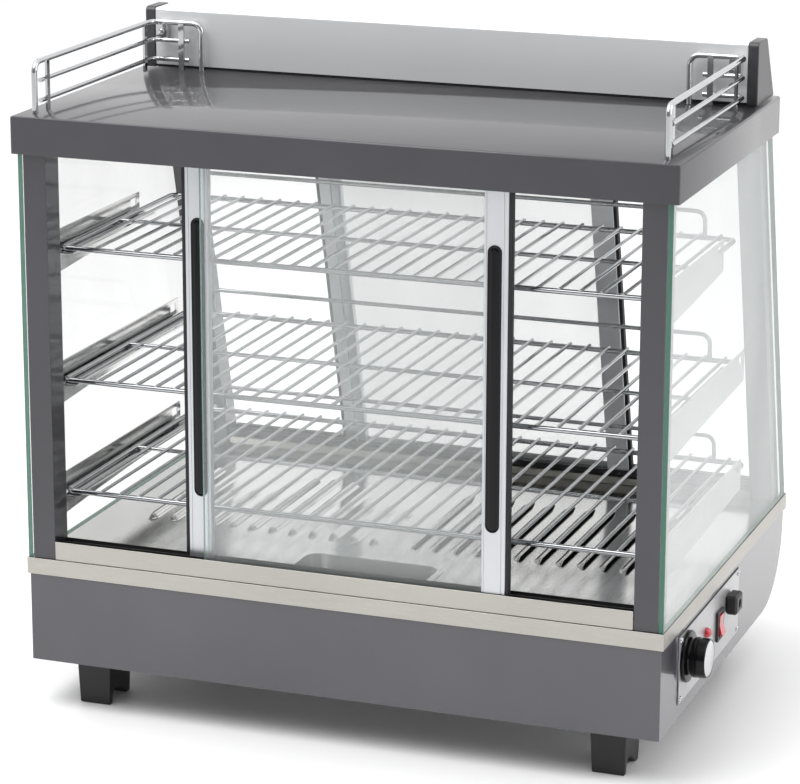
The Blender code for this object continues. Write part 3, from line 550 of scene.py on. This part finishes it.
def make_deck():
    """The floor plate with a slot under each hood and the pan's opening, and its two folded sides."""
    low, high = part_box("deck")
    pan_low, pan_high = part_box("water_pan")
    near, far = low.y + LOUVRE_NEAR, low.y + LOUVRE_FAR
    well_low = (pan_low.x + PAN_RIM, pan_low.y + PAN_RIM)
    well_high = (pan_high.x - PAN_RIM, pan_high.y - PAN_RIM)
    loops = [
        rectangle((low.x + DECK_EDGE, low.y), (high.x - DECK_EDGE, high.y)),
        rounded_rectangle(well_low, well_high, PAN_CORNER, 6),
    ]
    hoods = []
    for side in (1, -1):
        for i in range(LOUVRE_COUNT):
            start = LOUVRE_FIRST + LOUVRE_PITCH * i
            if side < 0:
                start = -start - LOUVRE_WIDTH
            hoods.append(louvre_hood(MIDDLE_X + start, side, near, far))
            open_edge = MIDDLE_X + start + (LOUVRE_WIDTH if side > 0 else 0)
            x0, x1 = sorted((open_edge - side * SLOT_EDGE_GAP, open_edge - side * SLOT_WIDTH))
            tip = (x0 + x1) / 2
            y0, y1 = near + SLOT_END_GAP, far - SLOT_END_GAP
            slot = [(x0, y0 + SLOT_POINT), (tip, y0), (x1, y0 + SLOT_POINT)]
            slot += [(x1, y1 - SLOT_POINT), (tip, y1), (x0, y1 - SLOT_POINT)]
            loops.append(slot)
    plate = prism(loops, (DECK_Z - DECK_PLATE, DECK_Z), IN_XY)
    floor = joined([plate, *hoods])
    from_shape("deck_floor", floor, "polished_steel", "case", ["deck"], 40)
    skirt_y = (low.y + TRIM_WRAP_NEAR, high.y - TRIM_WRAP_FAR)
    skirts = [
        block(sorted((x, x + inward * DECK_WALL)), skirt_y, (low.z, DECK_Z))
        for x, inward in ((low.x, 1), (high.x, -1))
    ]
    piece = from_shape("deck_sides", joined(skirts), "brushed_steel", "case", ["deck"])
    softened(piece, 0.0004)


def make_glass():
    """The panes keep their CAD shape; the two side panes, of one glass, are given different finishes whose colours
    paint different reflections.
    """
    finishes = {"left_side_glass": "left_side_glass", "right_side_glass": "side_glass"}
    for node, slot in SLOT_OF.items():
        if slot == "glass":
            frame["nodes"][node].data.materials.clear()
            frame["nodes"][node].data.materials.append(FINISH[finishes.get(node, "door_glass")])


# Shelves and rails

FRAME_WIRE = 0.0027
CROSS_WIRE = 0.0019
SPINE_WIRE = 0.0022
CROSS_COUNT = 29
CROSS_PITCH = 0.021
CROSS_TAIL = 0.0085
CROSS_RISE = 0.0016
SHELF_HALF_WIRE = 0.0025
SHELF_CORNER = 0.0075
STOP_WIRE = 0.0023
STOP_LEG = 0.034
STOP_DROP = 0.0021
WIRE_BEND = 0.010

RAIL_HOOP = 0.0030
RAIL_THIN = 0.0024
RAIL_STOP = 0.010
RAIL_DROPS = (0.019, 0.039)
THIN_FROM_NEAR = 0.012
THIN_FROM_BACK = 0.014
# Uprights and tab: distances in from the rail's outer side, then along it
SIDE_STRIP = (0.0042, 0.0066)
STRIP_WIDTH = 0.006
STRIP_FROM_NEAR = 0.021
STRIP_FROM_FAR = 0.027
STRIP_DROP = 0.0004
CORNER_STRIP = (0.0345, 0.0405)
CORNER_STRIP_Y = (0.0036, 0.0012)
TAB = (0.0075, 0.0195)
TAB_GAP = (0.0010, 0.0004)
TAB_Z = (0.021, 0.001)
BOLT_HEAD = ((0, 0.0030), (0.0022, 0.0026), (0.0034, 0.0012), (0.0036, 0.0), (0, 0.0))
BOLT_AT = (0.0135, 0.0012, 0.010)


def make_shelf(level):
    """A wire frame and spine with cross wires welded on top, and the raised stop at the far edge."""
    low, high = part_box(f"{level}_shelf")
    z = low.z + SHELF_HALF_WIRE
    near, far = low.y + SHELF_HALF_WIRE, high.y - CROSS_TAIL
    left, right = low.x + FRAME_WIRE, high.x - FRAME_WIRE
    outline = rounded_rectangle((left, near), (right, far), SHELF_CORNER, 6)
    runs = [([(x, y, z) for x, y in outline], FRAME_WIRE, True)]
    # The spine's underside stays above the brackets that the frame wires rest on
    runs.append(([(left, (near + far) / 2, z), (right, (near + far) / 2, z)], SPINE_WIRE, False))
    first = MIDDLE_X - CROSS_PITCH * (CROSS_COUNT - 1) / 2
    for i in range(CROSS_COUNT):
        x = first + CROSS_PITCH * i
        ends = [(x, near - 0.0008, z + CROSS_RISE), (x, high.y - 0.0006, z + CROSS_RISE)]
        runs.append((ends, CROSS_WIRE, False))
    leg = [low.x + STOP_LEG, high.x - STOP_LEG]
    top = high.z - STOP_DROP
    stop = [(leg[0], far, z), (leg[0], far, top), (leg[1], far, top), (leg[1], far, z)]
    runs.append((bent(stop, WIRE_BEND), STOP_WIRE, False))
    node = f"{level}_shelf"
    from_shape(f"{level}_shelf_wires", wires(runs), "shelf_chrome", node, [node], 60)


def make_rail(side):
    """A bent hoop, two lower wires, three flat uprights and the tab bolted to the header."""
    low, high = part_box(f"{side}_guard_rail")
    outer = low.x if side == "left" else high.x
    turn = 1 if side == "left" else -1

    def at(inward, y, z):
        return (outer + turn * inward, y, z)

    header_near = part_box("header_profile")[0].y
    near = low.y + RAIL_HOOP
    far = header_near - RAIL_STOP
    foot = low.z
    top = high.z - RAIL_HOOP
    back = high.x - low.x - RAIL_HOOP
    route = [at(RAIL_HOOP, near, foot), at(RAIL_HOOP, near, top), at(RAIL_HOOP, far, top)]
    route += [at(back, far, top), at(back, far, foot)]
    runs = [(bent(route, WIRE_BEND), RAIL_HOOP, False)]
    for drop in RAIL_DROPS:
        z = top - drop
        route = [at(RAIL_HOOP, near + THIN_FROM_NEAR, z), at(RAIL_HOOP, far, z)]
        route.append(at(back - THIN_FROM_BACK, far, z))
        runs.append((bent(route, WIRE_BEND), RAIL_THIN, False))
    shapes = [wires(runs)]
    strip_x = sorted(outer + turn * inward for inward in SIDE_STRIP)
    strip_z = (foot, top - STRIP_DROP)
    for y in (near + STRIP_FROM_NEAR, far - STRIP_FROM_FAR):
        shapes.append(block(strip_x, (y, y + STRIP_WIDTH), strip_z))
    strip_x = sorted(outer + turn * inward for inward in CORNER_STRIP)
    shapes.append(block(strip_x, (far - CORNER_STRIP_Y[0], far - CORNER_STRIP_Y[1]), strip_z))
    tab_x = sorted(outer + turn * inward for inward in TAB)
    tab_y = (far + TAB_GAP[0], header_near - TAB_GAP[1])
    shapes.append(block(tab_x, tab_y, (top - TAB_Z[0], top + TAB_Z[1])))
    bolt_place = Matrix.Translation(at(BOLT_AT[0], far + BOLT_AT[1], top - BOLT_AT[2]))
    shapes.append(lathe(BOLT_HEAD, 16, bolt_place @ Matrix.Rotation(math.pi / 2, 4, "X")))
    from_shape(
        f"{side}_guard_rail_wires", joined(shapes), "chrome", "case", [f"{side}_guard_rail"], 40
    )


# Doors

STILE_WIDTH = 0.024
STILE_EDGE = 0.0006
GROOVE = 0.0005
# Each front groove's corners: distance in from the outer edge, and depth
GROOVES = (
    ((0.0034, 0), (0.0036, GROOVE), (0.0042, GROOVE), (0.0044, 0)),
    ((0.0208, 0), (0.0210, GROOVE), (0.0216, GROOVE), (0.0218, 0)),
)
SEAL_X = (0.0001, 0.0038)
SEAL_Y = (0.0006, 0.0004)
# The pull from its seat to its face: share of its height, distance in from its rim
PULL_SUNK = 0.0001
PULL_SECTION = (
    (0.5, 0.0), (0.8, 0.0004), (0.8, 0.0010), (0.35, 0.0020), (0.4, 0.0026), (0.9, 0.0036), (1, 0.0046)
)


def door_edges(node, place):
    """The node's left and right edges, as if it stood on the near side."""
    low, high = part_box(node)
    if place is TO_FAR:
        return 2 * MIDDLE_X - high.x, 2 * MIDDLE_X - low.x
    return low.x, high.x


def stile_outline(outer, side, front, depth):
    """Section of the door's edge bar: two shallow front grooves and small corner steps."""
    def at(across, back):
        return (outer - side * across, front + back)

    points = [at(STILE_EDGE, 0)]
    points += [at(across, back) for groove in GROOVES for across, back in groove]
    points += [at(STILE_WIDTH - STILE_EDGE, 0), at(STILE_WIDTH, STILE_EDGE)]
    points += [at(STILE_WIDTH, depth - STILE_EDGE), at(STILE_WIDTH - STILE_EDGE, depth)]
    points += [at(STILE_EDGE, depth), at(0, depth - STILE_EDGE), at(0, STILE_EDGE)]
    return points


def stadium(x, low, high, radius):
    """An upright outline with round ends."""
    upper = arc((x, high - radius), radius, 0, 180, 16)
    lower = arc((x, low + radius), radius, 180, 360, 16)
    return upper + lower


def make_door(name, lane_door, place):
    """Edge bar, black seal and pull; the pane is the CAD one. A far door is drawn in lane_door's lane."""
    side = 1 if name in ("near_right", "far_left") else -1
    body = f"{name}_door"
    left, right = door_edges(f"{name}_door_stile", place)
    outer = right if side > 0 else left
    (_, front, low), (_, back, high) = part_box(f"{lane_door}_door_stile")
    pull_left, pull_right = door_edges(f"{name}_door_pull", place)
    pull_z = [corner.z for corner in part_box(f"{name}_door_pull")]
    pull_x = (pull_left + pull_right) / 2
    half = (pull_right - pull_left) / 2
    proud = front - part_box(f"{lane_door}_door_pull")[0].y

    bar = sent(prism([stile_outline(outer, side, front, back - front)], (low, high), IN_XY), place)
    from_shape(f"{name}_door_bar", bar, "aluminium", body, [f"{name}_door_stile"], 25)

    seal_x = sorted(outer + side * across for across in SEAL_X)
    seal = block(seal_x, (front + SEAL_Y[0], back - SEAL_Y[1]), (low, high))
    softened(from_shape(f"{name}_door_seal", sent(seal, place), "rubber", body), 0.0010, 3)

    levels = [(-PULL_SUNK, 0.0)] + [(proud * share, inset) for share, inset in PULL_SECTION]
    pull = bmesh.new()
    rings = []
    for height, inset in levels:
        loop = stadium(pull_x, pull_z[0] + inset, pull_z[1] - inset, half - inset)
        rings.append([pull.verts.new((x, front - height, z)) for x, z in loop])
    for ring, following in zip(rings, rings[1:]):
        for i in range(len(ring)):
            j = (i + 1) % len(ring)
            pull.faces.new((ring[i], ring[j], following[j], following[i]))
    pull.faces.new(rings[-1])
    pull.faces.new(reversed(rings[0]))
    pull = sent(pull, place)
    from_shape(f"{name}_door_grip", pull, "gloss_black", body, [f"{name}_door_pull"], 50)


# Controls

# The knob as radius and height: from its shaft out over the skirt to the grip, from the plate's face
KNOB_SHAFT = ((0, -0.014), (0.003, -0.014), (0.003, 0.0003))
KNOB_SKIRT = ((0.0235, 0.0003), (0.0258, 0.0009), (0.0260, 0.0026), (0.0250, 0.0040), (0.0176, 0.0050))
KNOB_NECK = ((0.0172, 0.0070), (0.0196, 0.0078), (0.0200, 0.0088), (0.0200, 0.0126))
KNOB_RING = ((0.0190, 0.0132), (0.0190, 0.0142), (0.0199, 0.0148))
# Radius, and depth below the knob's outer end
KNOB_RIM = ((0.0196, 0.0020), (0.0186, 0.0008), (0.0178, 0.0012), (0, 0.0012))
KNOB_FACE = (
    (0, 0.0002), (0.0150, 0.0002), (0.0170, 0.0006), (0.0177, 0.0011), (0.0177, 0.0014), (0, 0.0014)
)
MARK_HALF = 0.0009
MARK_FROM = 0.0160
MARK_DROP = 0.0010
MARK_RADII = (0.0186, 0.0204)
SCREW_INSET = 0.0045
SCREW_HEAD = (
    (0, 0.0010), (0.0012, 0.0010), (0.0013, 0.0018), (0.0026, 0.0013), (0.0030, 0.0001), (0, 0.0001)
)
# Size of the dark ring that paints the shadow round the control plate.
SHADOW_RING_OUT = 0.0008
SHADOW_RING_IN = 0.001
SHADOW_RING_X = (0.0002, 0.00002)


def on_plate(height, y, z):
    """Sends a turned shape's axis along +X from the control plate's face."""
    return Matrix.Translation((height, y, z)) @ ALONG_X


def make_controls():
    """Lamp, switch and gland in their CAD shapes, the knob, and the plate's screws and the dark ring round it that
    paints the shadow at its edge.
    """
    for control in ("pilot_lamp", "switch_bezel", "switch_rocker", "cable_gland"):
        refined(control, 0.0004)
    low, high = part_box("control_plate")
    knob = JOINT["thermostat_knob_turn"]["pos_m"]
    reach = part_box("thermostat_knob")[1].x - high.x
    profile = [*KNOB_SHAFT, *KNOB_SKIRT, *KNOB_NECK, *KNOB_RING]
    profile += [(radius, reach - drop) for radius, drop in KNOB_RIM]
    body = lathe(profile, 48, on_plate(high.x, knob[1], knob[2]))
    mark = block(
        (high.x + MARK_FROM, high.x + reach - MARK_DROP),
        (knob[1] - MARK_HALF, knob[1] + MARK_HALF),
        (knob[2] + MARK_RADII[0], knob[2] + MARK_RADII[1]),
    )
    from_shape(
        "thermostat_knob_grip", joined([body, mark]), "gloss_black",
        "thermostat_knob", ["thermostat_knob"], 30,
    )
    face = [(radius, reach - drop) for radius, drop in KNOB_FACE]
    disc = lathe(face, 48, on_plate(high.x, knob[1], knob[2]))
    from_shape("thermostat_knob_face", disc, "knob_cap", "thermostat_knob", (), 30)

    heads = [
        lathe(SCREW_HEAD, 18, on_plate(high.x, y, z))
        for y in (low.y + SCREW_INSET, high.y - SCREW_INSET)
        for z in (low.z + SCREW_INSET, high.z - SCREW_INSET)
    ]
    from_shape("control_plate_screws", joined(heads), "chrome", "case", (), 30)
    # A thin dark ring just behind the plate's edge: painted shadow in the gap around the plate.
    ring = [
        rectangle((low.y - SHADOW_RING_OUT, low.z - SHADOW_RING_OUT), (high.y + SHADOW_RING_OUT, high.z + SHADOW_RING_OUT)),
        rectangle((low.y + SHADOW_RING_IN, low.z + SHADOW_RING_IN), (high.y - SHADOW_RING_IN, high.z - SHADOW_RING_IN)),
    ]
    shadow_ring = prism(ring, (low.x - SHADOW_RING_X[0], low.x - SHADOW_RING_X[1]), IN_YZ)
    from_shape("control_plate_gasket", shadow_ring, "rubber", "case")


make_sheet_metal()
make_header()
make_plain_parts()
make_glass()
for shelf_level in ("top", "middle", "bottom"):
    make_shelf(shelf_level)
for rail_side in ("left", "right"):
    make_rail(rail_side)
make_door("near_right", "near_right", TO_NEAR)
make_door("near_left", "near_left", TO_NEAR)
make_door("far_left", "near_right", TO_FAR)
make_door("far_right", "near_left", TO_FAR)
make_deck()
make_controls()


# Studio

FLOOR_HALF = 14.0
CAMERA_PLACE = (1.10125, -3.08675, 1.2064)
CAMERA_YAW = 20.127
CAMERA_PITCH = 15.407
CAMERA_ROLL = 0.156
CAMERA_LENS = 148.02
CAMERA_SENSOR = 36.0


def make_floor():
    shape = bmesh.new()
    bmesh.ops.create_grid(shape, x_segments=2, y_segments=2, size=FLOOR_HALF)
    mesh = bpy.data.meshes.new("floor")
    shape.to_mesh(mesh)
    shape.free()
    floor = bpy.data.objects.new("floor", mesh)
    bpy.context.scene.collection.objects.link(floor)
    mesh.materials.append(
        surface("floor_paint", (0.96, 0.96, 0.96), 0.42, 0.0, 0.01, 2, 60, spread=0.02, depth=0.0)
    )


def make_world():
    """White to the camera, and to reflections a white room with a darker band low on the near side."""
    world = bpy.data.worlds.new("studio")
    bpy.context.scene.world = world
    world.use_nodes = True
    tree = world.node_tree
    background = tree.nodes["Background"]
    place = tree.nodes.new("ShaderNodeTexCoord")
    parts = tree.nodes.new("ShaderNodeSeparateXYZ")
    tree.links.new(place.outputs["Generated"], parts.inputs["Vector"])
    shade = between(tree, parts.outputs["Y"], 0.24, 1.05, -0.9, 0.25)
    lift = between(tree, parts.outputs["Z"], 0, 1.25, 0.30, 0.85)
    room = tree.nodes.new("ShaderNodeMath")
    room.operation = "MAXIMUM"
    tree.links.new(shade, room.inputs[0])
    tree.links.new(lift, room.inputs[1])
    ray = tree.nodes.new("ShaderNodeLightPath")
    seen = tree.nodes.new("ShaderNodeMath")
    seen.operation = "MAXIMUM"
    tree.links.new(room.outputs[0], seen.inputs[0])
    tree.links.new(ray.outputs["Is Camera Ray"], seen.inputs[1])
    background.inputs["Color"].default_value = (1, 1, 1, 1)
    tree.links.new(seen.outputs[0], background.inputs["Strength"])


def make_light(name, place, target, size, power):
    """A soft box at place, turned to face target."""
    data = bpy.data.lights.new(name, "AREA")
    data.shape = "RECTANGLE"
    data.size, data.size_y = size
    data.energy = power
    light = bpy.data.objects.new(name, data)
    light.location = place
    light.rotation_mode = "QUATERNION"
    light.rotation_quaternion = (Vector(target) - Vector(place)).to_track_quat("-Z", "Y")
    bpy.context.scene.collection.objects.link(light)


def make_camera():
    yaw, pitch, roll = (math.radians(angle) for angle in (CAMERA_YAW, CAMERA_PITCH, CAMERA_ROLL))
    ahead = Vector((-math.sin(yaw) * math.cos(pitch), math.cos(yaw) * math.cos(pitch), -math.sin(pitch)))
    right = Vector((math.cos(yaw), math.sin(yaw), 0.0))
    up = right.cross(ahead)
    turn = Matrix((right, up, -ahead)).transposed().to_4x4() @ Matrix.Rotation(roll, 4, "Z")
    data = bpy.data.cameras.new("camera")
    data.lens = CAMERA_LENS
    data.sensor_width = CAMERA_SENSOR
    data.clip_end = 100.0
    camera = bpy.data.objects.new("camera", data)
    camera.matrix_world = Matrix.Translation(CAMERA_PLACE) @ turn
    bpy.context.scene.collection.objects.link(camera)
    bpy.context.scene.camera = camera


make_floor()
make_world()
make_light("top_softbox", place=(-0.9, -1.0, 2.6), target=(0, 0, 0.3), size=(2.2, 2.2), power=55)
make_light("right_softbox", place=(2.6, 0.3, 1.6), target=(0, 0, 0.35), size=(1.6, 2.0), power=22)
make_camera()
bpy.context.scene.view_settings.view_transform = "Standard"
